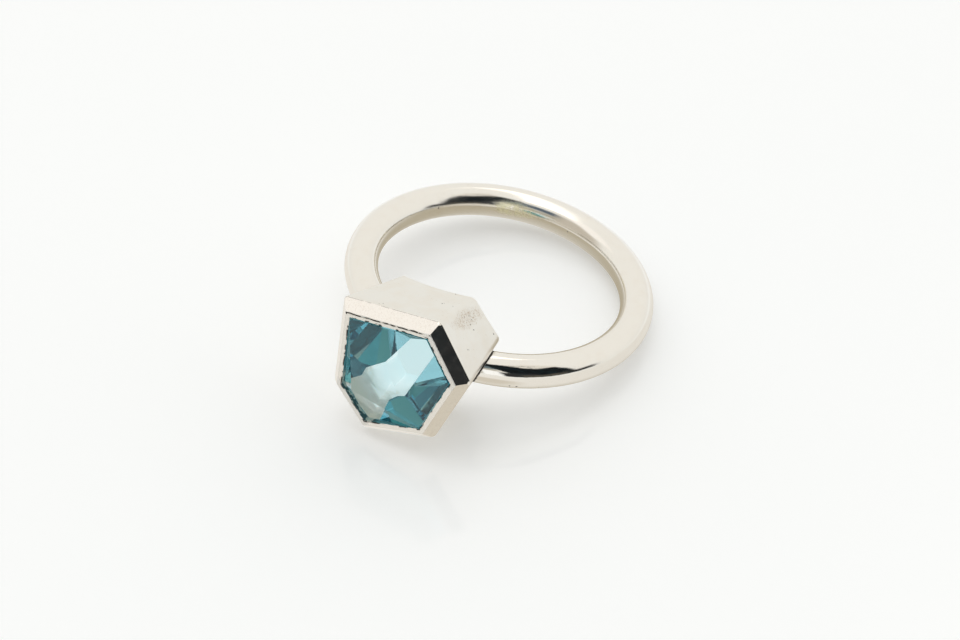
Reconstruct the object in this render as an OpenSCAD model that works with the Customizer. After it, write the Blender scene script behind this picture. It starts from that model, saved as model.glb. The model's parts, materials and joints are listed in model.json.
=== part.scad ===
// Ring with a round wire band and a free-form six-sided setting that holds one faceted aquamarine.
// It is drawn with the finger axis upright and the stone to the front, and then laid down
// in the pose in which it rests on a flat surface.

/* [Band] */
// Inner diameter of the band, which is the finger size
finger_d = 16.9; // [16.3:0.1:17.5]
// Thickness of the round wire
wire_d = 2.3; // [1.8:0.1:2.6]

/* [Setting] */
// Distance of the setting's rim from the finger axis
rim_level = 13.35; // [13:0.05:14]
// Height of the bevel, from the rim up to the lip
bevel_rise = 0.82; // [0.7:0.02:1]
// How far the bevel leans in over that height
bevel_run = 0.67; // [0.6:0.01:0.75]
// Width of the flat lip around the stone
lip_w = 0.36; // [0.3:0.01:0.45]
// Distance of the middle of the setting's back from the finger axis
back_level = 8.2; // [8:0.05:8.4]
// Radius that the back is filed to, along the finger
back_r = 11; // [10:0.5:14]
// Distance from the outline in to the hollow behind the stone, at the rim
hollow_in = 1.5; // [1.4:0.05:1.7]

/* [Stone] */
// Height of the table above the lip
table_proud = 0.05; // [0:0.01:0.1]
// Height of the crown, from the girdle to the table
crown_h = 0.85; // [0.8:0.05:0.95]
// How far the girdle reaches under the lip
girdle_grip = 0.16; // [0.1:0.01:0.2]
// Thickness of the girdle
girdle_t = 0.3; // [0.2:0.05:0.4]
// How far the seat lies below the girdle, which the pavilion's turned facets leave deeper in places
seat_drop = 0.7; // [0.7:0.01:0.8]
// Width of the gap between the stone and the metal
stone_gap = 0.04; // [0.03:0.01:0.06]

/* [Resting pose] */
// Sideways lean of the ring, which lies on its band and on the lowest corner of the rim
lean = 3.9; // [2:0.1:6]

/* [Hidden] */

// Corners of the rim, clockwise as the stone is looked at.
// Columns: x across the band, y along the finger, taper of the flank from this corner to the next
corners = [
    [-4.85, 3.9, 12],
    [2.4, 5.6, 12],
    [5.4, 2.15, 10],
    [3.6, -3.55, 11],
    [-1.5, -5.55, 11],
    [-4.45, -2.95, 9.5],
];
sides = [0 : len(corners) - 1];

// Crown facets that leave an edge of the table in view.
// Columns: direction that the facet faces, slope, distance of its table edge from the middle
crown_facets = [
    [191.8, 34, 3.09],
    [229.1, 36, 3.57],
    [266.6, 17, 2.58],
];

// Facets of the pavilion, and at its bottom one that lies almost flat.
// Columns: direction that the facet faces, slope, depth below the girdle at which its plane meets the middle line
pavilion_facets = [
    [114.5, 51, 4.89],
    [41, 51, 5.7],
    [-21, 40, 3.04],
    [-60, 51, 4.56],
    [-123, 48.5, 4.77],
    [180, 51, 4.6],
    [153.5, 42.5, 3.05],
    [-142.5, 20.5, 2.52],
    [-64, 2, 2.05],
];

band_r = (finger_d + wire_d) / 2;
lip_level = rim_level + bevel_rise;
bevel_lean = atan(bevel_run / bevel_rise);
lip_in = bevel_run + lip_w;
girdle_in = lip_in - girdle_grip;
table_level = lip_level + table_proud;
girdle_top = table_level - crown_h;
girdle_low = girdle_top - girdle_t;
seat_level = girdle_low - seat_drop;
// The crown facets under the lip, and the lip's inner wall, lean in by this angle
grip_lean = atan(girdle_grip / (lip_level - girdle_top));
// The bearing below the seat, and the hollow behind it, narrow to the back
bearing_lean = 38;
bearing_h = 2;
hollow_lean = 11;
// The setting's sides run this far below the middle of its back, before the back is filed
back_spare = 3;
// Height of the block that the stone is cut from, below the girdle
stone_spare = 4;
// Cutters are this large, and run this far past the faces that they open
block = 40;
past = 1;
// Sides of a round face as drawn, and of the wire's section
round_sides = 180;
wire_sides = 60;

function unit(a) = [cos(a), sin(a)];
function spot(i) = let (c = corners[i % len(corners)]) [c.x, c.y];
function along(i) = let (d = spot(i + 1) - spot(i)) atan2(d.y, d.x);
function facing(i) = along(i) + 90;
// Distance of side i from the middle, once it is moved in by an inset
function side_reach(i, inset) = spot(i) * unit(facing(i)) - inset;
// Corner i of the outline that is moved in by an inset
function inset_spot(i, inset) =
    let (j = (i + len(corners) - 1) % len(corners))
    let (m = unit(facing(j)), n = unit(facing(i)), s = side_reach(j, inset), t = side_reach(i, inset))
    [s * n.y - t * m.y, m.x * t - n.x * s] / (m.x * n.y - n.x * m.y);

// The outermost points of the setting, in the ring's own frame
rim_points = [for (i = sides) let (p = spot(i)) [p.x, -rim_level, p.y]];
lip_points = [for (i = sides) let (p = inset_spot(i, bevel_run)) [p.x, -lip_level, p.y]];

// Reach of the band, of the rim and of the whole ring in a direction of the ring's own frame
function band_reach(d) = band_r * norm([d.x, d.y]) + wire_d / 2;
function rim_reach(d) = max([for (p = rim_points) p * d]);
function ring_reach(d) = max(band_reach(d), rim_reach(d), max([for (p = lip_points) p * d]));

// A direction of the resting frame, turned back into the ring's own frame
function ring_dir(d, lift) =
    let (x = d.x * cos(lean) - d.z * sin(lean), z = d.x * sin(lean) + d.z * cos(lean))
    [x, d.y * cos(lift) - z * sin(lift), d.y * sin(lift) + z * cos(lift)];

// Lift of the front at which the band's far side and the rim's lowest corner both touch down
function settled(low, high, steps) =
    let (middle = (low + high) / 2, down = ring_dir([0, 0, -1], middle))
    steps == 0 ? middle
    : rim_reach(down) > band_reach(down) ? settled(middle, high, steps - 1)
    : settled(low, middle, steps - 1);
lift = settled(2, 30, 40);

// The resting ring's box stands centred on the origin
function centring(d) = (ring_reach(ring_dir(-d, lift)) - ring_reach(ring_dir(d, lift))) / 2;
shift = [centring([1, 0, 0]), centring([0, 1, 0]), ring_reach(ring_dir([0, 0, -1], lift))];

module at_rest() {
    translate(shift)
        rotate([-lift, lean, 0])
            children();
}

// Turns a piece that is drawn upward from the finger axis to the front
module to_front() {
    rotate([90, 0, 0])
        children();
}

// All that lies outside side i, past a plane that leans in above a level
module outside_side(i, level, inset, leaning) {
    translate([spot(i).x, spot(i).y, level])
        rotate([0, 0, along(i)])
            translate([0, -inset, 0])
                rotate([leaning, 0, 0])
                    translate([-block / 2, 0, -block / 2])
                        cube(block);
}

// All that lies past a facet, which faces a direction and slopes down by an angle
module beyond_facet(direction, slope, reach, level) {
    rotate([0, 0, direction])
        translate([reach, 0, level])
            rotate([0, slope, 0])
                translate([-block / 2, -block / 2, 0])
                    cube(block);
}

module slab(low, high) {
    translate([-block / 2, -block / 2, low])
        cube([block, block, high - low]);
}

// A solid with the outline's sides, moved in and leaning alike
module outline_solid(low, high, level, inset, leaning) {
    difference() {
        slab(low, high);
        for (i = sides)
            outside_side(i, level, inset, leaning);
    }
}

module band() {
    rotate_extrude($fn = round_sides)
        translate([band_r, 0])
            circle(d = wire_d, $fn = wire_sides);
}

// The setting's outside: flanks that taper to the back, the bevel, and the back filed to the finger
module setting_block() {
    difference() {
        slab(back_level - back_spare, lip_level);
        for (i = sides) {
            outside_side(i, rim_level, 0, -corners[i].z);
            outside_side(i, rim_level, 0, bevel_lean);
        }
        translate([0, 0, back_level - back_r])
            rotate([90, 0, 0])
                cylinder(h = block, r = back_r, center = true, $fn = round_sides);
    }
}

// The room for the stone: opening, girdle pocket, bearing, and the open hollow behind it
module stone_room() {
    outline_solid(girdle_low, lip_level + past, lip_level, lip_in, grip_lean);
    outline_solid(seat_level, girdle_top + stone_gap, seat_level, girdle_in - stone_gap, 0);
    outline_solid(seat_level - bearing_h, seat_level, seat_level, girdle_in - stone_gap, -bearing_lean);
    outline_solid(back_level - back_spare - past, seat_level, rim_level, hollow_in, -hollow_lean);
}

module band_and_setting() {
    color([0.86, 0.85, 0.83])
        at_rest()
            difference() {
                union() {
                    band();
                    to_front()
                        setting_block();
                }
                to_front()
                    stone_room();
            }
}

module aquamarine() {
    color([0.45, 0.72, 0.78])
        at_rest()
            to_front()
                difference() {
                    outline_solid(girdle_low - stone_spare, table_level, girdle_low, girdle_in, 0);
                    for (i = sides)
                        outside_side(i, lip_level, lip_in + stone_gap, grip_lean);
                    for (f = crown_facets)
                        beyond_facet(f[0], f[1], f[2], table_level);
                    for (f = pavilion_facets)
                        beyond_facet(f[0], 180 - f[1], 0, girdle_low - f[2]);
                }
}

band_and_setting();
aquamarine();
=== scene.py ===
import json
import math

import bmesh
import bpy
from mathutils import Matrix, Vector, noise


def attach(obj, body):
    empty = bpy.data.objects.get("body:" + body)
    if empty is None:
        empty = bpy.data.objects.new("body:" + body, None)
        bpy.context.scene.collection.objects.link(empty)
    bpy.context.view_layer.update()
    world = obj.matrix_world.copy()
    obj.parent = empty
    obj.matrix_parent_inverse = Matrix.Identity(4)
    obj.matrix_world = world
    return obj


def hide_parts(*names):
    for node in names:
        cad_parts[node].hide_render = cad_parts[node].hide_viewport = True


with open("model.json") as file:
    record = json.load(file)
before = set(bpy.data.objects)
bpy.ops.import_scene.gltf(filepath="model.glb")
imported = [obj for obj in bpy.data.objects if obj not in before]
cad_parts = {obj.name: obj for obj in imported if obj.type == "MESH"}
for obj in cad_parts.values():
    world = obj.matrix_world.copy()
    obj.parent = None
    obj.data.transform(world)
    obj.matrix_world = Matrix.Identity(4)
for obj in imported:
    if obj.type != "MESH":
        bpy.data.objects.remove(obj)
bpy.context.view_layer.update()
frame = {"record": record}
mm = 0.001

# The ring's own frame has the finger axis up and the stone to the front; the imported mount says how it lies
fingerMount = next(m for m in frame["record"]["mounts"] if m["name"] == "finger")
fingerAxis = Vector(fingerMount["axis"])
ringCentre = Vector(fingerMount["pos_m"])
lift = math.asin(fingerAxis.y)
lean = math.atan2(fingerAxis.x, fingerAxis.z)
restTurn = Matrix.Rotation(lean, 4, "Y") @ Matrix.Rotation(-lift, 4, "X")
restPose = Matrix.Translation(ringCentre) @ restTurn
toFront = Matrix.Rotation(math.radians(90), 4, "X")   # pieces are drawn upward and then face the front


def nothingSelected():
    if bpy.context.object and bpy.context.object.mode != "OBJECT":
        bpy.ops.object.mode_set(mode="OBJECT")
    bpy.ops.object.select_all(action="DESELECT")


def activate(piece):
    nothingSelected()
    piece.select_set(True)
    bpy.context.view_layer.objects.active = piece


# Camera
view = {
    "aim": (0.84 * mm, -1.755 * mm, 2.976 * mm),
    "azimuth": 31.184,
    "elevation": 44.312,
    "distance": 247.3 * mm,
    "roll": 1.339,
    "lens": 136.46,
    "clip": (0.01, 20),
}


def makeCamera():
    a, e = math.radians(view["azimuth"]), math.radians(view["elevation"])
    back = Vector((math.sin(a) * math.cos(e), -math.cos(a) * math.cos(e), math.sin(e)))
    nothingSelected()
    bpy.ops.object.camera_add(location=Vector(view["aim"]) + back * view["distance"])
    camera = bpy.context.object
    roll = Matrix.Rotation(math.radians(view["roll"]), 3, "Z")
    camera.rotation_euler = ((-back).to_track_quat("-Z", "Y").to_matrix() @ roll).to_euler()
    camera.data.lens = view["lens"]
    camera.data.clip_start, camera.data.clip_end = view["clip"]
    bpy.context.scene.camera = camera


makeCamera()
print("camera placed")


class Nodes:
    # short forms for building a node tree; a value may be a number, a colour or another node's output
    def __init__(self, tree):
        self.tree = tree
        tree.nodes.clear()

    def put(self, socket, value):
        if isinstance(value, bpy.types.NodeSocket):
            self.tree.links.new(value, socket)
        else:
            socket.default_value = value

    def add(self, kind, settings=None, **inputs):
        node = self.tree.nodes.new(kind)
        for key, value in (settings or {}).items():
            setattr(node, key, value)
        for key, value in inputs.items():
            place = int(key[1:]) if key[0] == "i" and key[1:].isdigit() else key.replace("_", " ")
            self.put(node.inputs[place], value)
        return node

    def math(self, operation, a, b=0.0, c=0.0):
        return self.add("ShaderNodeMath", {"operation": operation}, i0=a, i1=b, i2=c).outputs[0]

    def chain(self, operation, *values):
        result = values[0]
        for value in values[1:]:
            result = self.math(operation, result, value)
        return result

    def times(self, *factors):
        return self.chain("MULTIPLY", *factors)

    def largest(self, *values):
        return self.chain("MAXIMUM", *values)

    def ramp(self, value, low, high):
        # 0 at low and 1 at high, soft at both ends
        node = self.add("ShaderNodeMapRange", {"interpolation_type": "SMOOTHSTEP"}, i0=value, i1=low, i2=high)
        return node.outputs[0]

    def blend(self, factor, a, b):
        node = self.add("ShaderNodeMix", {"data_type": "RGBA"}, i0=factor, i6=a, i7=b)
        return node.outputs[2]

    def vector(self, operation, a, b=(0, 0, 0), output="Vector"):
        return self.add("ShaderNodeVectorMath", {"operation": operation}, i0=a, i1=b).outputs[output]

    def dot(self, a, b):
        return self.vector("DOT_PRODUCT", a, b, "Value")

    def distance(self, a, b):
        return self.vector("DISTANCE", a, b, "Value")

    def length(self, a):
        return self.vector("LENGTH", a, output="Value")

    def noise(self, place, scale, detail=2.0, roughness=0.5):
        node = self.add("ShaderNodeTexNoise", i0=place, Scale=scale, Detail=detail, Roughness=roughness)
        return node.outputs[0]


def newMaterial(name):
    material = bpy.data.materials.new(name)
    material.use_nodes = True
    return material, Nodes(material.node_tree)


# Surroundings: a bright tent with a long lamp overhead and a dark opening to the right of the camera
tent = {
    "wall": (0.868, 0.846, 0.790, 1),
    "low": (0.845, 0.825, 0.775, 1),
    "lowTo": 0.35,                       # the height at which the low part has turned into the wall
    "lamp": (1.6, 1.55, 1.44, 1),
    # the lamp's sides across the zenith: place, slant toward the back, half width of the soft edge
    "lampLeft": (-0.31, 0.18, 0.09),
    "lampRight": (0.09, -0.28, 0.03),
    # its ends, from dark to bright
    "lampFront": (-0.30, -0.18),
    "lampBack": (0.75, 0.65),
    "wash": (1.14, 1.18, 1.25),          # the tent lights matt things this much more than it shows
    # seen through the stone it is no darker than this, and tinted by the long way, in clouds
    "deep": (0.055, 0.16, 0.18),
    "deepTint": (0.12, 0.54, 0.62, 1),
    "deepCloud": (0.40, 0.92, 0.98, 1),
    "opening": 5,                        # which of the patches is the dark opening, faintly mottled
    "veil": (0.014, 0.026, 0.030, 1),
    # patch: azimuth, elevation, half width, half height, soft edge (all in degrees), colour
    "patches": [
        (-32, 22, 26, 36, 18, (0.55, 0.50, 0.42, 1)),
        (14, 17, 24, 20, 8, (0.42, 0.39, 0.32, 1)),
        (-72, 54, 14, 14, 10, (0.98, 0.94, 0.885, 1)),
        (13, 50, 19, 10, 8, (0.085, 0.115, 0.15, 1)),
        (40, 48, 13, 11, 6, (0.13, 0.17, 0.185, 1)),
        (71, 32, 22, 35, 3, (0.008, 0.009, 0.010, 1)),
        (98, 60, 10, 10, 6, (0.80, 0.76, 0.68, 1)),
        (52, 12, 14, 12, 6, (0.03, 0.03, 0.03, 1)),
        (72, 3, 19, 10, 10, (0.11, 0.10, 0.08, 1)),
        (95, 5, 11, 7, 5, (0.03, 0.03, 0.03, 1)),
        (33, 4, 7, 24, 5, (1.0, 1.0, 0.98, 1)),
    ],
}


def tentPatch(n, direction, azimuth, elevation, halfW, halfH, soft):
    a, e = math.radians(azimuth), math.radians(elevation)
    across = n.dot(direction, (math.cos(a), math.sin(a), 0))
    upward = n.dot(direction, (-math.sin(a) * math.sin(e), math.cos(a) * math.sin(e), math.cos(e)))
    ahead = n.dot(direction, (math.sin(a) * math.cos(e), -math.cos(a) * math.cos(e), math.sin(e)))
    masks = []
    for angle, half in ((n.math("ARCTAN2", across, ahead), halfW), (n.math("ARCSINE", upward), halfH)):
        edge = math.radians(half + soft / 2), math.radians(half - soft / 2)
        masks.append(n.ramp(n.math("ABSOLUTE", angle), *edge))
    return n.times(*masks)


def lampMask(n, direction):
    x, y, z = n.add("ShaderNodeSeparateXYZ", i0=direction).outputs
    left, leftSlant, leftSoft = tent["lampLeft"]
    right, rightSlant, rightSoft = tent["lampRight"]
    fromLeft = n.math("SUBTRACT", x, n.math("MULTIPLY_ADD", y, leftSlant, left))
    fromRight = n.math("SUBTRACT", n.math("MULTIPLY_ADD", y, rightSlant, right), x)
    return n.times(
        n.ramp(fromLeft, -leftSoft, leftSoft), n.ramp(fromRight, -rightSoft, rightSoft),
        n.ramp(y, *tent["lampFront"]), n.ramp(y, *tent["lampBack"]), n.ramp(z, 0.0, 0.05),
    )


def makeTent():
    world = bpy.data.worlds.new("lightTent")
    bpy.context.scene.world = world
    world.use_nodes = True
    n = Nodes(world.node_tree)
    direction = n.add("ShaderNodeTexCoord").outputs["Generated"]
    height = n.dot(direction, (0, 0, 1))
    colour = n.blend(n.ramp(height, 0.0, tent["lowTo"]), tent["low"], tent["wall"])
    colour = n.blend(lampMask(n, direction), colour, tent["lamp"])
    for *shape, patch in tent["patches"]:
        colour = n.blend(tentPatch(n, direction, *shape), colour, patch)
    opening = tent["patches"][tent["opening"]][:-1]
    mottle = n.ramp(n.noise(direction, 16, 3.0, 0.6), 0.48, 0.66)
    colour = n.blend(n.times(tentPatch(n, direction, *opening), mottle), colour, tent["veil"])
    path = n.add("ShaderNodeLightPath").outputs
    inStone = n.math("GREATER_THAN", path["Transmission Depth"], 0.5)
    clouds = n.ramp(n.noise(direction, 7.0, 5.0, 0.7), 0.40, 0.66)
    tint = n.blend(clouds, tent["deepTint"], tent["deepCloud"])
    throughStone = n.vector("MULTIPLY", n.vector("MAXIMUM", colour, tent["deep"]), tint)
    colour = n.blend(inStone, colour, throughStone)
    washed = n.vector("MULTIPLY", colour, tent["wash"])
    light = n.add("ShaderNodeBackground", Color=n.blend(path["Is Diffuse Ray"], colour, washed))
    n.add("ShaderNodeOutputWorld", Surface=light.outputs[0])


makeTent()

floorSheet = {
    "size": 6.0,
    "drop": 0.02 * mm,        # it lies this far under the ring
    "colour": (0.882, 0.889, 0.889, 1),
    "glow": 0.24,             # lit a little from below
    "roughness": 0.09,
    # painted reflection: what the metal mirrors of it in place of the lit floor, with painted shade inside the
    # ring and near it, and from where to where one colour turns into the next (mm)
    "mirroredLeft": (0.84, 0.81, 0.75, 1),
    "mirroredRight": (0.80, 0.77, 0.71, 1),
    "leftToRight": (-12, 12),
    "mirroredWithin": (0.46, 0.41, 0.31, 1),
    "bandToWithin": (13, 8),
    "mirroredBehind": (0.93, 0.93, 0.91, 1),
    "middleToBehind": (6, 20),
    "mirroredFar": (0.85, 0.84, 0.79, 1),
    "nearToFar": (16, 70),
    "shade": (0.65, 0.60, 0.51, 1),           # in the setting's shadow
    "shadePlace": (6.5, -11.5, 0),
    "edgeToShade": (5.5, 2),
    # painted light: through the stone it glows brighter than it is lit, and how much this counts
    "throughStone": (1.40, 1.12, 1.04, 1),
    "throughShare": 0.5,
}


def makeFloor():
    nothingSelected()
    bpy.ops.mesh.primitive_plane_add(size=floorSheet["size"], location=(0, 0, -floorSheet["drop"]))
    sheet = bpy.context.object
    sheet.name = "floor"
    bpy.ops.object.transform_apply(location=True)
    material, n = newMaterial("whiteAcrylic")
    shader = n.add(
        "ShaderNodeBsdfPrincipled", Base_Color=floorSheet["colour"], Roughness=floorSheet["roughness"],
        Emission_Color=floorSheet["colour"], Emission_Strength=floorSheet["glow"],
    )
    place = n.vector("SCALE", n.add("ShaderNodeTexCoord").outputs["Object"])
    place.node.inputs["Scale"].default_value = 1 / mm
    toRight, toBehind = n.dot(place, (0.7, 0.7, 0)), n.dot(place, (-0.3, 1, 0))
    fromMiddle, fromShade = n.distance(place, ringCentre / mm), n.distance(place, floorSheet["shadePlace"])
    mirrored = floorSheet["mirroredLeft"]
    for away, change, colour in (
        (toRight, "leftToRight", "mirroredRight"),
        (fromMiddle, "bandToWithin", "mirroredWithin"),
        (toBehind, "middleToBehind", "mirroredBehind"),
        (fromMiddle, "nearToFar", "mirroredFar"),
        (fromShade, "edgeToShade", "shade"),
    ):
        mirrored = n.blend(n.ramp(away, *floorSheet[change]), mirrored, floorSheet[colour])
    # painted reflection: glossy rays from outside the stone see these colours as light
    glow = n.add("ShaderNodeEmission", Color=mirrored)
    path = n.add("ShaderNodeLightPath").outputs
    outside = n.math("LESS_THAN", path["Transmission Depth"], 0.5)
    inMetal = n.times(path["Is Glossy Ray"], outside)
    # painted light: rays in the stone see the floor partly as this glow
    bright = n.add("ShaderNodeEmission", Color=floorSheet["throughStone"])
    share = floorSheet["throughShare"]
    inStone = n.math("MULTIPLY_ADD", outside, -share, share)
    shown = n.add("ShaderNodeMixShader", i0=inMetal, i1=shader.outputs[0], i2=glow.outputs[0])
    shown = n.add("ShaderNodeMixShader", i0=inStone, i1=shown.outputs[0], i2=bright.outputs[0])
    n.add("ShaderNodeOutputMaterial", Surface=shown.outputs[0])
    sheet.data.materials.append(material)


makeFloor()
print("tent and floor made")

# The setting's outline, which the stone's shares
outline = {
    # corner of the rim: across, along the finger, taper of the flank to the next corner
    "corners": [
        (-4.85, 3.9, 12),
        (2.4, 5.6, 12),
        (5.4, 2.15, 10),
        (3.6, -3.55, 11),
        (-1.5, -5.55, 11),
        (-4.45, -2.95, 9.5),
    ],
    "block": 40 * mm,      # blocks are sawn out of cubes of this size
    "past": 1 * mm,        # cutters run this far past the faces that they open
    "weld": 0.001 * mm,    # points that are nearer than this are one
    "near": 0.01 * mm,     # and what is nearer than this to a face lies on it
    "flat": 0.9,           # a face is flat if its normal points up or down by more than this
    "onPlane": 1e-7,       # a cut takes points that are nearer than this to its plane as its own
}
sides = range(len(outline["corners"]))


def rimCorner(i):
    x, y, taper = outline["corners"][i % len(sides)]
    return Vector((x * mm, y * mm))


def sideRun(i):
    return (rimCorner(i + 1) - rimCorner(i)).normalized()


def sideFacing(i):
    run = sideRun(i)
    return Vector((-run.y, run.x))


def sideReach(i, inset):
    return rimCorner(i).dot(sideFacing(i)) - inset


def insetOf(point):
    # which side of the outline a point is nearest to, and how far in from it
    return min((sideReach(i, 0) - sideFacing(i).dot(point), i) for i in sides)


def newBlock(name, low, high):
    nothingSelected()
    size = outline["block"]
    bpy.ops.mesh.primitive_cube_add(size=1, location=(0, 0, (low + high) / 2), scale=(size, size, high - low))
    piece = bpy.context.object
    piece.name = name
    bpy.ops.object.transform_apply(location=True, rotation=True, scale=True)
    return piece


def sawOff(piece, point, normal):
    # cuts away all that lies past the plane and closes the cut
    activate(piece)
    bpy.ops.object.mode_set(mode="EDIT")
    bpy.ops.mesh.select_all(action="SELECT")
    bpy.ops.mesh.bisect(
        plane_co=point, plane_no=normal, use_fill=True, clear_outer=True, threshold=outline["onPlane"],
    )
    bpy.ops.object.mode_set(mode="OBJECT")


def welded(piece):
    activate(piece)
    bpy.ops.object.mode_set(mode="EDIT")
    bpy.ops.mesh.select_all(action="SELECT")
    bpy.ops.mesh.remove_doubles(threshold=outline["weld"])
    bpy.ops.object.mode_set(mode="OBJECT")
    return piece


def sawSide(piece, i, level, inset, leaning):
    # the plane along side i of the outline, which leans in above the level
    tilt = math.radians(leaning)
    outward = sideFacing(i).to_3d()
    point = outward * sideReach(i, inset) + Vector((0, 0, level))
    sawOff(piece, point, outward * math.cos(tilt) + Vector((0, 0, math.sin(tilt))))


def sawFacet(piece, direction, slope, reach, level):
    a, s = math.radians(direction), math.radians(slope)
    point = Vector((math.cos(a) * reach, math.sin(a) * reach, level))
    sawOff(piece, point, Vector((math.cos(a) * math.sin(s), math.sin(a) * math.sin(s), math.cos(s))))


def outlineBlock(name, low, high, level, inset, leaning):
    piece = newBlock(name, low, high)
    for i in sides:
        sawSide(piece, i, level, inset, leaning)
    return welded(piece)


def withModifier(piece, kind, **values):
    activate(piece)
    modifier = piece.modifiers.new(kind.title(), kind)
    for key, value in values.items():
        setattr(modifier, key, value)
    bpy.ops.object.modifier_apply(modifier=modifier.name)


def carve(piece, cutter, operation="DIFFERENCE"):
    withModifier(piece, "BOOLEAN", object=cutter, operation=operation, solver="EXACT")
    bpy.data.objects.remove(cutter)


def placed(piece, pose):
    activate(piece)
    piece.matrix_world = pose
    bpy.ops.object.transform_apply(location=True, rotation=True, scale=True)


def editMesh(piece, kind):
    activate(piece)
    bpy.ops.object.mode_set(mode="EDIT")
    bpy.ops.mesh.select_mode(type=kind)


def pickFaces(piece, wanted):
    mesh = bmesh.from_edit_mesh(piece.data)
    for face in mesh.faces:
        face.select_set(wanted(face))
    bmesh.update_edit_mesh(piece.data)


def pickEdges(piece, wanted):
    bpy.ops.mesh.select_all(action="DESELECT")
    mesh = bmesh.from_edit_mesh(piece.data)
    for edge in mesh.edges:
        edge.select_set(wanted(edge))
    bmesh.update_edit_mesh(piece.data)


def roundEdges(piece, wanted, width, segments):
    # the test gets the normals of the edge's two faces, and the edge's middle
    def toRound(edge):
        middle = (edge.verts[0].co + edge.verts[1].co) / 2
        return wanted(edge.link_faces[0].normal, edge.link_faces[1].normal, middle)

    editMesh(piece, "EDGE")
    pickEdges(piece, toRound)
    bpy.ops.mesh.bevel(offset=width, offset_type="OFFSET", segments=segments, affect="EDGES")
    bpy.ops.object.mode_set(mode="OBJECT")


def score(piece, wanted, cuts):
    # straight cuts across the faces that the test picks by their middle and normal; nothing is removed
    editMesh(piece, "FACE")
    for point, normal in cuts:
        pickFaces(piece, lambda face: wanted(face.calc_center_median(), face.normal))
        bpy.ops.mesh.bisect(plane_co=point, plane_no=normal, use_fill=False, threshold=outline["onPlane"])
    bpy.ops.object.mode_set(mode="OBJECT")


setting = {
    "rimLevel": 13.35 * mm,
    "bevelRise": 0.82 * mm,
    "bevelRun": 0.67 * mm,
    "lipW": 0.36 * mm,
    "backLevel": 8.2 * mm,
    "backSpare": 3 * mm,        # its sides run this far below that, before the back is filed
    "backR": 11 * mm,
    "backSides": 240,
    "hollowIn": 1.5 * mm,
    "hollowLean": 11,
    "bearingLean": 38,
    "seatDrop": 0.7 * mm,       # the seat lies this far below the girdle
    "girdleGrip": 0.16 * mm,    # the stone's girdle reaches this far under the lip
    "girdleT": 0.3 * mm,
    "crownH": 0.85 * mm,
    "tableProud": 0.05 * mm,
    "stoneGap": 0.04 * mm,
    "ridgeRound": (0.3 * mm, 6),    # worn edges between the flanks: width, segments
    "rimRound": (0.05 * mm, 3),
    "upright": 0.35,            # the normal of a flank rises or falls less than this
    "sameFace": 0.99,           # there is no edge between faces whose normals agree more than this
}
lipLevel = setting["rimLevel"] + setting["bevelRise"]
lipIn = setting["bevelRun"] + setting["lipW"]
girdleIn = lipIn - setting["girdleGrip"]
tableLevel = lipLevel + setting["tableProud"]
girdleTop = tableLevel - setting["crownH"]
girdleLow = girdleTop - setting["girdleT"]
seatLevel = girdleLow - setting["seatDrop"]
bevelLean = math.degrees(math.atan2(setting["bevelRun"], setting["bevelRise"]))
gripLean = math.degrees(math.atan2(setting["girdleGrip"], lipLevel - girdleTop))
hollowLow = setting["backLevel"] - setting["backSpare"]


def onFlank(i, along, down):
    # a place on flank i: along the rim from its first corner, and down from the rim
    taper = math.radians(outline["corners"][i][2])
    spot = rimCorner(i) + sideRun(i) * along - sideFacing(i) * math.sin(taper) * down
    return spot.to_3d() + Vector((0, 0, setting["rimLevel"] - math.cos(taper) * down))


def flankNormal(i):
    taper = math.radians(outline["corners"][i][2])
    return sideFacing(i).to_3d() * math.cos(taper) - Vector((0, 0, math.sin(taper)))


pits = {
    "rise": 0.45,      # a pit's middle lies this share of its radius outside the flank
    # casting pits in the flanks: side, distance along the rim, distance down from it, radius (mm)
    "places": [
        (0, 5.70, 3.02, 0.060),
        (0, 5.78, 3.16, 0.035),
        (0, 6.49, 3.07, 0.040),
        (0, 5.44, 5.18, 0.055),
        (0, 2.77, 0.36, 0.040),
        (0, 2.57, 0.18, 0.035),
        (1, 1.73, 3.31, 0.050),
        (1, 2.17, 3.41, 0.060),
        (1, 2.79, 1.53, 0.050),
        (1, 2.86, 1.66, 0.030),
        (1, 3.51, 5.58, 0.060),
        (1, 1.24, 3.68, 0.045),
        (1, 1.56, 3.75, 0.045),
        (1, 1.05, 3.05, 0.035),
        (1, 1.33, 3.15, 0.030),
    ],
}


def makePits(body):
    drills = []
    for i, along, down, radius in pits["places"]:
        nothingSelected()
        centre = onFlank(i, along * mm, down * mm) + flankNormal(i) * radius * mm * pits["rise"]
        bpy.ops.mesh.primitive_ico_sphere_add(subdivisions=2, radius=radius * mm, location=centre)
        drills.append(bpy.context.object)
    nothingSelected()
    for drill in drills:
        drill.select_set(True)
    bpy.context.view_layer.objects.active = drills[0]
    bpy.ops.object.join()
    bpy.ops.object.transform_apply(location=True, rotation=True, scale=True)
    carve(body, bpy.context.object)


# The lip was rubbed over the stone by hand, so it is uneven
lip = {
    "step": 0.11 * mm,       # spacing of the cuts along each side
    "rows": [0.04, 0.09, 0.15, 0.22, 0.30],   # and across the lip, from the bevel inward (mm)
    # side: depth of the groove beside the bevel, height of the ripples, raggedness of the inner edge (mm)
    "sides": [
        (0.045, 0.012, 0.050),
        (0.004, 0.016, 0.090),
        (0.000, 0.008, 0.080),
        (0.010, 0.014, 0.100),
        (0.012, 0.026, 0.110),
        (0.020, 0.008, 0.040),
    ],
    "groove": (0.09, 0.08),  # middle and half width of the groove (mm)
    "ripple": 0.55 * mm,     # length of the ripples
    "rippleFrom": 0.08,      # they reach their height this far in from the bevel (mm)
}


def nearLip(middle, normal):
    return middle.z > lipLevel - outline["near"] and normal.z > outline["flat"]


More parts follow.
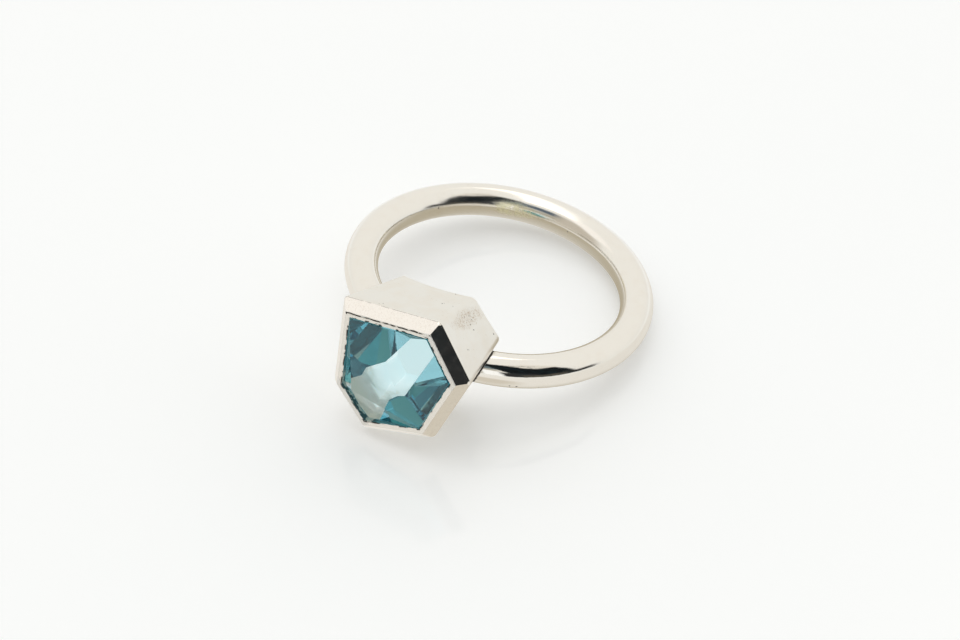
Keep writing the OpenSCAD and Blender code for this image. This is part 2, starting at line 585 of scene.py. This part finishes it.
def lipCuts():
    cuts = []
    for i in sides:
        outward, run = sideFacing(i).to_3d(), sideRun(i).to_3d()
        corner = rimCorner(i).to_3d()
        cuts.append((corner, (run + sideRun(i - 1).to_3d()).normalized()))
        for row in lip["rows"]:
            cuts.append((outward * sideReach(i, setting["bevelRun"] + row * mm), outward))
    return cuts


def makeLip(body):
    score(body, nearLip, lipCuts())
    for i in sides:
        run = sideRun(i).to_3d()
        length = (rimCorner(i + 1) - rimCorner(i)).length

        def onThisSide(middle, normal):
            return nearLip(middle, normal) and insetOf(middle.to_2d())[1] == i

        count = round(length / lip["step"])
        places = [rimCorner(i).to_3d() + run * length * k / count for k in range(1, count)]
        score(body, onThisSide, [(point, run) for point in places])
    grooveAt, grooveHalf = lip["groove"]
    for vertex in body.data.vertices:
        if vertex.co.z < lipLevel - outline["weld"]:
            continue
        inset, i = insetOf(vertex.co.to_2d())
        across = (inset - setting["bevelRun"]) / mm
        groove, ripple, ragged = lip["sides"][i]
        place = vertex.co / lip["ripple"]
        wave = noise.noise(place) + 0.6 * noise.noise(place * 2.7)
        inner = min(1, max(0, across / (setting["lipW"] / mm)))
        depth = 0.75 + 0.5 * noise.noise(place * 1.7)
        dip = groove * max(0, 1 - abs(across - grooveAt) / grooveHalf) * depth
        vertex.co.z += (ripple * wave * min(1, across / lip["rippleFrom"]) - dip) * mm
        torn = max(0, noise.noise(place * 1.9 + Vector((7, 0, 0))) + 0.2)
        vertex.co += sideFacing(i).to_3d() * inner ** 4 * ragged * torn * mm


def hollowInset(level):
    return setting["hollowIn"] + (setting["rimLevel"] - level) * math.tan(math.radians(setting["hollowLean"]))


def insetFace(piece, wanted, *steps):
    # the picked face moves in and out of its plane step by step: thickness, depth
    editMesh(piece, "FACE")
    pickFaces(piece, lambda face: wanted(face.normal))
    for thickness, depth in steps:
        bpy.ops.mesh.inset(thickness=thickness, depth=depth, use_even_offset=True)
    bpy.ops.object.mode_set(mode="OBJECT")


def makeRoom():
    # the stone's room in one: the girdle's pocket, the opening above it, the bearing and the open hollow below
    pocketIn, pocketTop = girdleIn - setting["stoneGap"], girdleTop + setting["stoneGap"]
    grip, bearing = math.tan(math.radians(gripLean)), math.tan(math.radians(setting["bearingLean"]))
    room = outlineBlock("room", seatLevel, pocketTop, seatLevel, pocketIn, 0)
    openingIn = lipIn + (pocketTop - lipLevel) * grip
    rise = lipLevel + outline["past"] - pocketTop
    insetFace(room, lambda normal: normal.z > outline["flat"], (openingIn - pocketIn, 0), (rise * grip, rise))
    bearingH = (hollowInset(seatLevel) - pocketIn) / (bearing - math.tan(math.radians(setting["hollowLean"])))
    bearingLow, low = seatLevel - bearingH, hollowLow - outline["past"]
    insetFace(
        room, lambda normal: normal.z < -outline["flat"],
        (bearingH * bearing, bearingH), (hollowInset(low) - hollowInset(bearingLow), bearingLow - low),
    )
    return room


def makeSetting():
    body = newBlock("settingBody", hollowLow, lipLevel)
    for i in sides:
        sawSide(body, i, setting["rimLevel"], 0, -outline["corners"][i][2])
        sawSide(body, i, setting["rimLevel"], 0, bevelLean)

    def ridge(a, b, middle):
        return max(abs(a.z), abs(b.z)) < setting["upright"] and a.dot(b) < setting["sameFace"]

    def rim(a, b, middle):
        return abs(middle.z - setting["rimLevel"]) < 2 * outline["near"] and a.dot(b) < setting["sameFace"]

    roundEdges(body, ridge, *setting["ridgeRound"])
    roundEdges(body, rim, *setting["rimRound"])
    nothingSelected()
    bpy.ops.mesh.primitive_cylinder_add(
        vertices=setting["backSides"], radius=setting["backR"], depth=outline["block"],
        location=(0, 0, setting["backLevel"] - setting["backR"]), rotation=(math.radians(90), 0, 0),
    )
    carve(body, bpy.context.object)
    carve(body, makeRoom())
    # the pocket's walls are cut at the girdle, where their finish changes
    score(body, lambda middle, normal: abs(normal.z) < 0.1, [(Vector((0, 0, girdleLow)), Vector((0, 0, 1)))])
    makePits(body)
    makeLip(body)
    return body


band = {
    "fingerD": 16.9 * mm,
    "wireD": 2.3 * mm,
    "segmentsRound": 240,
    "segmentsWire": 64,
    "buried": 0.3 * mm,      # the wire's ends reach this far into the setting's walls
    # dark specks on the wire: angle round the finger, angle round the wire from the outside up, radius (mm)
    "specks": [
        (-55, -25, 0.07),
        (-52.4, -27, 0.09),
        (-44, -31, 0.05),
        (86, 176, 0.05),
        (152, 164, 0.07),
    ],
}
bandR = (band["fingerD"] + band["wireD"]) / 2
wireR = band["wireD"] / 2


def ringPlace(n):
    # a point in the ring's own frame, in millimetres
    where = n.add("ShaderNodeTexCoord").outputs["Object"]
    return n.add(
        "ShaderNodeMapping", {"vector_type": "TEXTURE"},
        i0=where, Location=ringCentre, Rotation=restTurn.to_euler(), Scale=(mm, mm, mm),
    ).outputs[0]


def levelOf(n, place):
    # how far to the front of the finger axis a point lies
    return n.dot(place, (0, -1, 0))


def outTo(n, place, i):
    # how far out it lies, in the direction that side i of the outline faces
    facing = sideFacing(i)
    return n.dot(place, (facing.x, 0, facing.y))


def fromFinger(n, place):
    # its distance from the finger axis
    return n.length(n.vector("MULTIPLY", place, (1, 1, 0)))


def bumped(n, *layers):
    # layers of height, each in millimetres, make one normal
    normal = None
    for height in layers:
        bump = n.add("ShaderNodeBump", i0=1.0, i1=1.0, Height=n.math("MULTIPLY", height, mm))
        if normal is not None:
            n.put(bump.inputs["Normal"], normal)
        normal = bump.outputs[0]
    return normal


# Dark seams in the polished silver, partly painted shade, all in millimetres
seams = {
    "wander": 0.16,                        # the seams of the lip wander over this width
    # the groove's painted shade and dirt starts, is full, thins out and ends this far in from the bevel
    "groove": (-0.01, 0.03, 0.10, 0.15),
    "nearCorner": (2.2, 0.8),              # it is thicker near the first corner
    "stone": (0.14, 0.06),                 # the painted shade beside the stone starts and is full this far from the opening
    "rim": (0.06, 0.02),                   # a thin darker line along the rim of the first side
    "joint": (0.17, 0.11),                 # solder seams on the wire end this far from the flanks
    "jointWander": 0.12,
}


def seamShadeAndDirtMask(n, place):
    # painted shade with some polish and dirt in the groove between the bevel and the lip, and painted shade in
    # dashes where the lip meets the stone
    insets = [n.math("SUBTRACT", sideReach(i, 0) / mm, outTo(n, place, i)) for i in sides]
    inset = n.math("SUBTRACT", n.chain("MINIMUM", *insets), seams["wander"] / 2)
    inset = n.math("MULTIPLY_ADD", n.noise(place, 1.7, 2.0, 0.6), seams["wander"], inset)
    edge = setting["bevelRun"] / mm
    starts, full, thins, ends = (edge + reach for reach in seams["groove"])
    onFirst = n.math("LESS_THAN", insets[0], n.math("ADD", inset, 0.1))
    corner = rimCorner(0) / mm
    fromCorner = n.distance(n.vector("MULTIPLY", place, (1, 0, 1)), (corner.x, 0, corner.y))
    thicker = n.times(n.ramp(fromCorner, *seams["nearCorner"]), 0.25)
    broken = n.ramp(n.math("ADD", n.noise(place, 2.2, 3.0, 0.6), thicker), 0.40, 0.50)
    groove = n.times(n.ramp(inset, starts, full), n.ramp(inset, ends, thins), broken, onFirst)
    besideStone = n.ramp(inset, lipIn / mm - seams["stone"][0], lipIn / mm - seams["stone"][1])
    lower = n.ramp(n.dot(place, (-0.3, 0, -1)), -1.0, 2.0)
    dashed = n.ramp(n.math("ADD", n.noise(place, 2.1, 2.0, 0.5), n.times(lower, 0.07)), 0.54, 0.58)
    top = n.ramp(levelOf(n, place), lipLevel / mm - 0.09, lipLevel / mm - 0.06)
    return n.times(top, n.largest(groove, n.times(besideStone, dashed)))


def rimLine(n, place):
    # the first side's edge between flank and bevel is darker along a thin broken line
    outOf = n.math("SUBTRACT", sideReach(0, 0) / mm, outTo(n, place, 0))
    fromRim = n.math("SUBTRACT", levelOf(n, place), setting["rimLevel"] / mm + 0.02)
    return n.times(
        n.ramp(n.math("ABSOLUTE", fromRim), *seams["rim"]), n.ramp(n.math("ABSOLUTE", outOf), 0.16, 0.10),
        n.ramp(n.noise(place, 2.6, 3.0, 0.6), 0.36, 0.52),
    )


def jointMask(n, place):
    # dark solder seams on the wire where it meets the flanks
    fromBand = n.math("SUBTRACT", fromFinger(n, place), bandR / mm)
    section = n.add("ShaderNodeCombineXYZ", i0=fromBand, i2=n.dot(place, (0, 0, 1))).outputs[0]
    offWire = n.math("ABSOLUTE", n.math("SUBTRACT", n.length(section), wireR / mm))
    reaches = []
    for i in sides:
        normal = toFront @ flankNormal(i)
        flank = normal.dot(toFront @ onFlank(i, 0, 0)) / mm
        reaches.append(n.math("SUBTRACT", n.dot(place, normal), flank))
    outOf = n.largest(*reaches)
    level, rim = levelOf(n, place), setting["rimLevel"] / mm
    wander = seams["jointWander"]
    ragged = n.math("MULTIPLY_ADD", n.noise(place, 3.0, 2.0), wander, n.math("SUBTRACT", outOf, wander / 2))
    return n.times(
        n.ramp(level, rim - 0.5, rim - 0.8), n.ramp(level, 4.0, 5.0), n.ramp(offWire, 0.06, 0.02),
        n.ramp(outOf, -0.05, 0.0), n.ramp(ragged, *seams["joint"]),
    )


def speckMask(n, place):
    marks = []
    for around, across, radius in band["specks"]:
        a, b = math.radians(around), math.radians(across)
        reach = bandR + wireR * math.cos(b)
        spot = Vector((reach * math.cos(a), reach * math.sin(a), wireR * math.sin(b))) / mm
        marks.append(n.ramp(n.distance(place, spot), radius, radius / 2))
    return n.largest(*marks)


silver = {
    # dark marks: dirt in the pits and on the wire, and painted shade in the lip's seams and in dashes on the
    # seat
    "dirtAndShade": (0.035, 0.030, 0.026, 1),
    "cream": (0.97, 0.89, 0.76, 1),        # warm light on the walls and on the seat, at the lowest side
    "lowestSide": 4,
}

polished = {
    "clean": (0.955, 0.935, 0.895, 1),
    "warm": (0.93, 0.89, 0.83, 1),
    "brushed": (0.82, 0.77, 0.71, 1),
    "strawReflection": (0.95, 0.90, 0.60, 1),
    "strawReflectionPlace": (-3.5, 7.7, 0.25),       # painted reflection: a yellowish patch on the far inside of the band (mm)
    "strawReflectionHalf": (2.0, 1.2, 0.62),
    "whiteSides": (1, 4),                  # the lip of these sides was burnished less and stayed white
    # roughness: plain, and what the smudges, brush marks, lip, seams and the band's far part add to it
    "roughness": 0.035,
    "smudgeRough": 0.05,
    "brushRough": 0.04,
    "lipRough": 0.16,
    "seamRough": 0.5,
    "farRough": 0.12,
    "backRough": -0.02,                    # its farthest part shines a little more again
    # heights (mm)
    "waveHeight": 0.010,
    "scratchHeight": 0.0006,
    "smudgeHeight": 0.0012,
    "brushHeight": 0.0016,
    "rippleHeight": 0.0035,
    # how much of the mirror is lost in the seams, under the film, in the yellowish painted reflection and on
    # the lip
    "seamDull": 0.8,
    "filmDull": 0.03,
    "strawReflectionDull": 0.5,
    "lipDull": 0.3,
    "whiteDull": 0.5,
}


def whiteLip(n, place):
    marks = []
    for i in polished["whiteSides"]:
        reach = sideReach(i, lipIn) / mm
        marks.append(n.ramp(outTo(n, place, i), reach - 0.08, reach - 0.02))
    return n.largest(*marks)


def strawReflectionMask(n, place):
    offset = n.vector("DIVIDE", n.vector("SUBTRACT", place, polished["strawReflectionPlace"]), polished["strawReflectionHalf"])
    return n.times(n.ramp(n.length(offset), 1.1, 0.6), n.ramp(n.noise(place, 3.2, 4.0, 0.7), 0.32, 0.55))


def polishedSilver():
    material, n = newMaterial("polishedSilver")
    place = ringPlace(n)
    x, y, z = n.add("ShaderNodeSeparateXYZ", i0=place).outputs
    level, rim = levelOf(n, place), setting["rimLevel"] / mm
    onHead = n.ramp(level, rim - 0.3, rim)
    onLip = n.ramp(level, lipLevel / mm - 0.06, lipLevel / mm - 0.03)

    # scratches run along the wire
    around, reach = n.math("ARCTAN2", y, x), fromFinger(n, place)
    alongWire = n.add(
        "ShaderNodeCombineXYZ", i0=n.times(around, 3.0), i1=n.times(z, 9.0), i2=n.times(reach, 9.0),
    ).outputs[0]
    scratches = n.noise(alongWire, 4.0, 4.0, 0.7)
    waves = n.noise(place, 0.7, 1.0)
    smudge = n.noise(place, 1.1, 4.0, 0.65)
    brushed = n.times(onHead, n.noise(n.vector("MULTIPLY", place, (14, 1.2, 14)), 1.0, 3.0, 0.7))
    ripples = n.times(n.noise(place, 2.6, 2.0), n.ramp(y, -6.5, -8.0), n.math("SUBTRACT", 1.0, onHead))
    film = n.times(onHead, n.ramp(n.noise(place, 2.6, 4.0, 0.65), 0.46, 0.68))
    strawReflection = strawReflectionMask(n, place)
    seamDirtAndShade = n.largest(seamShadeAndDirtMask(n, place), jointMask(n, place), speckMask(n, place))

    colour = n.blend(n.times(n.ramp(smudge, 0.45, 0.8), 0.6), polished["clean"], polished["warm"])
    colour = n.blend(n.times(n.ramp(brushed, 0.47, 0.72), 0.6), colour, polished["brushed"])
    # painted reflection of something yellowish on the far inside of the band
    colour = n.blend(n.times(strawReflection, 0.8), colour, polished["strawReflection"])
    # dark seams, joints and specks, partly painted shade
    colour = n.blend(n.largest(seamDirtAndShade, n.times(rimLine(n, place), 0.32)), colour, silver["dirtAndShade"])

    roughness = polished["roughness"]
    for mask, added in (
        (n.ramp(smudge, 0.35, 0.75), polished["smudgeRough"]),
        (n.ramp(brushed, 0.4, 0.7), polished["brushRough"]),
        (onLip, polished["lipRough"]),
        (seamDirtAndShade, polished["seamRough"]),
        (n.ramp(y, -7.5, -2.0), polished["farRough"]),
        (n.ramp(y, 1.0, 8.5), polished["backRough"]),
    ):
        roughness = n.math("MULTIPLY_ADD", mask, added, roughness)

    normal = bumped(
        n, n.times(waves, polished["waveHeight"]), n.times(scratches, polished["scratchHeight"]),
        n.times(smudge, polished["smudgeHeight"]), n.times(brushed, polished["brushHeight"]),
        n.times(ripples, polished["rippleHeight"]),
    )
    lipDull = n.math("ADD", polished["lipDull"], n.times(whiteLip(n, place), polished["whiteDull"]))
    dull = n.largest(
        n.times(seamDirtAndShade, polished["seamDull"]), n.times(film, polished["filmDull"]),
        n.times(strawReflection, polished["strawReflectionDull"]), n.times(onLip, lipDull),
    )
    shader = n.add(
        "ShaderNodeBsdfPrincipled", Base_Color=colour, Roughness=roughness, Normal=normal,
        Metallic=n.math("SUBTRACT", 1.0, dull),
    )
    n.add("ShaderNodeOutputMaterial", Surface=shader.outputs[0])
    return material


satin = {
    "plain": (0.935, 0.925, 0.89, 1),
    "warm": (0.925, 0.90, 0.85, 1),
    "stain": (0.50, 0.37, 0.25, 1),
    "stainPlace": (1, 1.25, 3.3),         # side, along, down (mm)
    "stainHalf": (0.7, 2.6),              # half its width and height
    "stainSlant": 0.18,
    "pitDirt": (1.15, 0.6),               # a pit's dirt starts and is full at these shares of its radius
    # roughness: plain, and what the clouds and the freckles and pits add to it
    "roughness": 0.27,
    "cloudRough": 0.14,
    "freckleRough": 0.15,
    # heights (mm)
    "cloudHeight": 0.006,
    "grainHeight": 0.0035,
    "freckleHeight": -0.003,
}


def pitMask(n, place):
    starts, full = satin["pitDirt"]
    marks = []
    for i, along, down, radius in pits["places"]:
        spot = (toFront @ onFlank(i, along * mm, down * mm)) / mm
        marks.append(n.ramp(n.distance(place, spot), radius * starts, radius * full))
    return n.largest(*marks)


def stainMask(n, place):
    i, along, down = satin["stainPlace"]
    centre = (toFront @ onFlank(i, along * mm, down * mm)) / mm
    acrossAxis = toFront @ sideRun(i).to_3d()
    upAxis = acrossAxis.cross(toFront @ flankNormal(i))
    offset = n.vector("SUBTRACT", place, centre)
    halfW, halfH = satin["stainHalf"]
    across = n.dot(offset, (acrossAxis + upAxis * satin["stainSlant"]) / halfW)
    upward = n.dot(offset, upAxis / halfH)
    away = n.length(n.add("ShaderNodeCombineXYZ", i0=across, i1=upward).outputs[0])
    ragged = n.math("MULTIPLY_ADD", n.noise(place, 1.4, 3.0, 0.6), 1.1, away)
    return n.ramp(ragged, 1.65, 1.0)


def satinSilver():
    material, n = newMaterial("satinSilver")
    place = ringPlace(n)
    grain = n.noise(place, 9.0, 5.0, 0.75)
    cloud = n.noise(place, 0.8, 3.0, 0.6)
    specks = n.ramp(n.noise(place, 5.5, 2.0, 0.5), 0.70, 0.76)
    pit = pitMask(n, place)
    stain = stainMask(n, place)
    freckles = n.times(stain, n.ramp(n.noise(place, 11.0, 3.0, 0.65), 0.50, 0.62))
    colour = n.blend(n.ramp(cloud, 0.35, 0.7), satin["plain"], satin["warm"])
    colour = n.blend(n.times(specks, 0.35), colour, satin["stain"])
    colour = n.blend(n.largest(n.times(stain, 0.06), n.times(freckles, 0.7)), colour, satin["stain"])
    colour = n.blend(n.times(pit, 0.85), colour, silver["dirtAndShade"])
    roughness = n.math("MULTIPLY_ADD", cloud, satin["cloudRough"], satin["roughness"])
    roughness = n.math("MULTIPLY_ADD", n.largest(freckles, pit), satin["freckleRough"], roughness)
    normal = bumped(
        n, n.times(cloud, satin["cloudHeight"]), n.times(grain, satin["grainHeight"]),
        n.times(freckles, satin["freckleHeight"]),
    )
    shader = n.add(
        "ShaderNodeBsdfPrincipled", Base_Color=colour, Roughness=roughness, Normal=normal,
        Metallic=n.math("MULTIPLY_ADD", pit, -0.7, 1.0),
    )
    n.add("ShaderNodeOutputMaterial", Surface=shader.outputs[0])
    return material


# The walls behind the stone are matt and cloudy and glow a little: painted light, whiter and brighter toward
# the open back, greyer toward the seat
frosted = {
    "plain": (0.97, 0.90, 0.84, 1),
    "cloud": (0.84, 0.78, 0.71, 1),
    # painted light: toward the open back the walls are whiter
    "back": (1.0, 0.90, 0.88, 1),
    "glow": (0.20, 0.45),                  # near the seat, and at the back
    "metallic": 0.2,
    "roughness": (0.45, 0.2),              # plain, and what the grain adds
    "grainHeight": 0.004,                  # (mm)
}


def glowingFrostedSilver():
    material, n = newMaterial("glowingFrostedSilver")
    place = ringPlace(n)
    level = levelOf(n, place)
    grain = n.noise(place, 7.0, 4.0, 0.7)
    cloud = n.noise(place, 1.3, 3.0, 0.55)
    # painted light: whiter and glowing more toward the open back, and warm on the lowest side
    toBack = n.ramp(n.math("MULTIPLY_ADD", cloud, 2.0, level), 12.2, 10.2)
    lowest = n.times(n.ramp(outTo(n, place, silver["lowestSide"]), 2.5, 3.2), n.ramp(level, 11.0, 12.0))
    colour = n.blend(n.ramp(cloud, 0.40, 0.62), frosted["plain"], frosted["cloud"])
    colour = n.blend(toBack, colour, frosted["back"])
    colour = n.blend(lowest, colour, silver["cream"])
    glow, backGlow = frosted["glow"]
    smooth, grainRough = frosted["roughness"]
    # painted light: the walls glow in their own colour
    shader = n.add(
        "ShaderNodeBsdfPrincipled", Base_Color=colour, Metallic=frosted["metallic"],
        Roughness=n.math("MULTIPLY_ADD", grain, grainRough, smooth),
        Normal=bumped(n, n.times(grain, frosted["grainHeight"])),
        Emission_Color=colour, Emission_Strength=n.math("MULTIPLY_ADD", toBack, backGlow - glow, glow),
    )
    n.add("ShaderNodeOutputMaterial", Surface=shader.outputs[0])
    return material


# The seat under the lip is painted teal, darker in grimy patches, and glows a little: painted light for what
# shows of it through the stone
seat = {
    "plain": (0.12, 0.36, 0.40, 1),
    "dark": (0.06, 0.15, 0.17, 1),
    "glow": 0.12,
    "metallic": 0.3,
    "roughness": (0.4, 0.3),               # plain, and what the grime adds
    "grimeHeight": 0.005,                  # (mm)
}


def glowingTealSeat():
    material, n = newMaterial("glowingTealSeat")
    place = ringPlace(n)
    grime = n.noise(place, 4.0, 4.0, 0.7)
    lowest = n.ramp(outTo(n, place, silver["lowestSide"]), 3.3, 3.7)
    dashes = n.ramp(n.noise(place, 1.9, 3.0, 0.6), 0.47, 0.53)
    colour = n.blend(n.ramp(grime, 0.40, 0.66), seat["plain"], seat["dark"])
    # painted warm light on the lowest side, broken by dashes of painted shade
    colour = n.blend(lowest, colour, n.blend(dashes, silver["cream"], silver["dirtAndShade"]))
    clean, grimeRough = seat["roughness"]
    shader = n.add(
        "ShaderNodeBsdfPrincipled", Base_Color=colour, Metallic=seat["metallic"],
        Roughness=n.math("MULTIPLY_ADD", grime, grimeRough, clean),
        Normal=bumped(n, n.times(grime, seat["grimeHeight"])),
        # painted light: the seat glows in its teal
        Emission_Color=seat["plain"], Emission_Strength=seat["glow"],
    )
    n.add("ShaderNodeOutputMaterial", Surface=shader.outputs[0])
    return material


finishes = [polishedSilver, satinSilver, glowingFrostedSilver, glowingTealSeat]


def finishOf(face):
    # wire, bevel and lip are polished, flanks and back are satin, the walls behind the stone are frosted and
    # glow, and the seat glows teal: painted light
    middle, normal = face.center, face.normal
    offWire = math.hypot(math.hypot(middle.x, middle.z) - bandR, middle.y) - wireR
    if abs(offWire) < outline["near"] or middle.z < 0:
        return polishedSilver
    outward = normal.dot(sideFacing(insetOf(middle.to_2d())[1]).to_3d())
    if outward < -0.5 or (normal.z < -outline["flat"] and middle.z > girdleLow):
        return glowingFrostedSilver if middle.z < girdleLow else glowingTealSeat
    return satinSilver if middle.z < setting["rimLevel"] else polishedSilver


def makeWire():
    # a ring of round wire, its ends buried in the setting's walls
    nothingSelected()
    bpy.ops.mesh.primitive_torus_add(
        major_radius=bandR, minor_radius=wireR, rotation=(math.radians(90), 0, 0),
        major_segments=band["segmentsRound"], minor_segments=band["segmentsWire"],
    )
    wire = bpy.context.object
    bpy.ops.object.transform_apply(location=True, rotation=True, scale=True)
    low = hollowLow - outline["past"]
    gap = outlineBlock("gap", low, girdleLow, low, hollowInset(low) - band["buried"], -setting["hollowLean"])
    carve(wire, gap)
    return wire


shading = {
    "smoothBelow": 28,            # faces that meet at less than this angle are shaded as one
    "broadFace": 2 * mm * mm,     # but not with a face larger than this
    "broadAngle": 1,              # that meets them at more than this angle
    "weight": 80,
}


def keepFlat(piece):
    # the broad faces don't share their shading with the rounded edges beside them
    def besideBroad(edge):
        broad = any(face.calc_area() > shading["broadFace"] for face in edge.link_faces)
        return broad and edge.calc_face_angle(0) > math.radians(shading["broadAngle"])

    editMesh(piece, "EDGE")
    pickEdges(piece, besideBroad)
    bpy.ops.mesh.mark_sharp()
    bpy.ops.object.mode_set(mode="OBJECT")


def makeMetal():
    ring = makeWire()
    carve(ring, makeSetting(), "UNION")
    ring.name = "silverRing"
    ring.data.name = "silverRing"
    ring.data.materials.clear()
    for makeFinish in finishes:
        ring.data.materials.append(makeFinish())
    for face in ring.data.polygons:
        face.material_index = finishes.index(finishOf(face))
    placed(ring, restPose @ toFront)
    activate(ring)
    bpy.ops.object.shade_smooth_by_angle(angle=math.radians(shading["smoothBelow"]))
    keepFlat(ring)
    withModifier(ring, "WEIGHTED_NORMAL", keep_sharp=True, weight=shading["weight"])
    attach(ring, "root")
    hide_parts("band_and_setting")


makeMetal()
print("metal made")

stone = {
    # facet of the crown: direction, slope, distance of its table edge from the middle (mm)
    "crown": [(191.8, 34, 3.09), (229.1, 36, 3.57), (266.6, 17, 2.58)],
    # facet of the pavilion: direction, slope, depth below the girdle in the middle (mm)
    "pavilion": [
        (114.5, 51, 4.89),
        (41, 51, 5.7),
        (-21, 40, 3.04),
        (-60, 51, 4.56),
        (-123, 48.5, 4.77),
        (180, 51, 4.6),
        (153.5, 42.5, 3.05),
        (-142.5, 20.5, 2.52),
        (-64, 2, 2.05),
    ],
    "edgeRound": (0.010 * mm, 2),    # width, segments
    "index": 1.577,
    "depthColour": (0.0, 0.63, 0.75, 1),
    "depthDensity": 124.0,
    "waveHeight": 0.0008,            # the facets are very slightly wavy (mm)
}


def makeStone():
    gem = outlineBlock("aquamarineGem", setting["backLevel"], tableLevel, girdleLow, girdleIn, 0)
    for i in sides:
        sawSide(gem, i, lipLevel, lipIn + setting["stoneGap"], gripLean)
    for direction, slope, reach in stone["crown"]:
        sawFacet(gem, direction, slope, reach * mm, tableLevel)
    for direction, slope, depth in stone["pavilion"]:
        sawFacet(gem, direction, 180 - slope, 0, girdleLow - depth * mm)

    roundEdges(gem, lambda a, b, middle: a.dot(b) < 0.999, *stone["edgeRound"])
    placed(gem, restPose @ toFront)
    gem.data.materials.clear()
    gem.data.materials.append(aquamarineCrystal())
    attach(gem, "root")
    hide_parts("aquamarine")


def aquamarineCrystal():
    material, n = newMaterial("aquamarineCrystal")
    normal = bumped(n, n.times(n.noise(ringPlace(n), 0.5, 1.0), stone["waveHeight"]))
    shader = n.add("ShaderNodeBsdfGlass", Color=(1, 1, 1, 1), Roughness=0.0, IOR=stone["index"], Normal=normal)
    depth = n.add("ShaderNodeVolumeAbsorption", Color=stone["depthColour"], Density=stone["depthDensity"])
    n.add("ShaderNodeOutputMaterial", Surface=shader.outputs[0], Volume=depth.outputs[0])
    return material


makeStone()
print("stone made")

# Light goes back and forth in the stone many times
bounces = {"max_bounces": 24, "transmission_bounces": 24, "glossy_bounces": 12}
for limit, count in bounces.items():
    setattr(bpy.context.scene.cycles, limit, count)
bpy.context.scene.view_settings.view_transform = "Standard"
